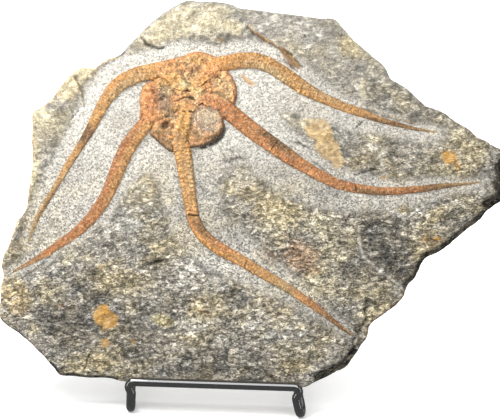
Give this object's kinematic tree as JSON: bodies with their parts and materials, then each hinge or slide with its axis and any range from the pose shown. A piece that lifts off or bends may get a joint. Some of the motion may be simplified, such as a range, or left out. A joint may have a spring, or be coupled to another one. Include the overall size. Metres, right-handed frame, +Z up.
{
  "type": "fossil brittle star",
  "caption": "Brittle star fossil in low relief on a rough mudstone slab, leaning upright on a bent wire display stand.",
  "frame": {"origin": "centre of the whole part's footprint box, on the surface that the stand's feet rest on", "axes": "+X to the right across the slab's face, +Y towards the back, +Z up; the face with the fossil looks towards -Y"},
  "size_m": [0.2008, 0.0882, 0.1603],
  "materials": {
    "rock": "rough grey and khaki split mudstone with a pale scraped zone round the fossil",
    "fossil": "matt ochre to red-brown iron-stained fossil",
    "wire": "glossy black"
  },
  "bodies": {
    "root": {"slab": "rock", "star_disc": "fossil", "arm_upper_left": "fossil", "arm_left": "fossil", "arm_front": "fossil", "arm_right": "fossil", "arm_upper_right": "fossil", "stand_front_rod": "wire", "stand_back_rod": "wire"}
  },
  "joints": []
}
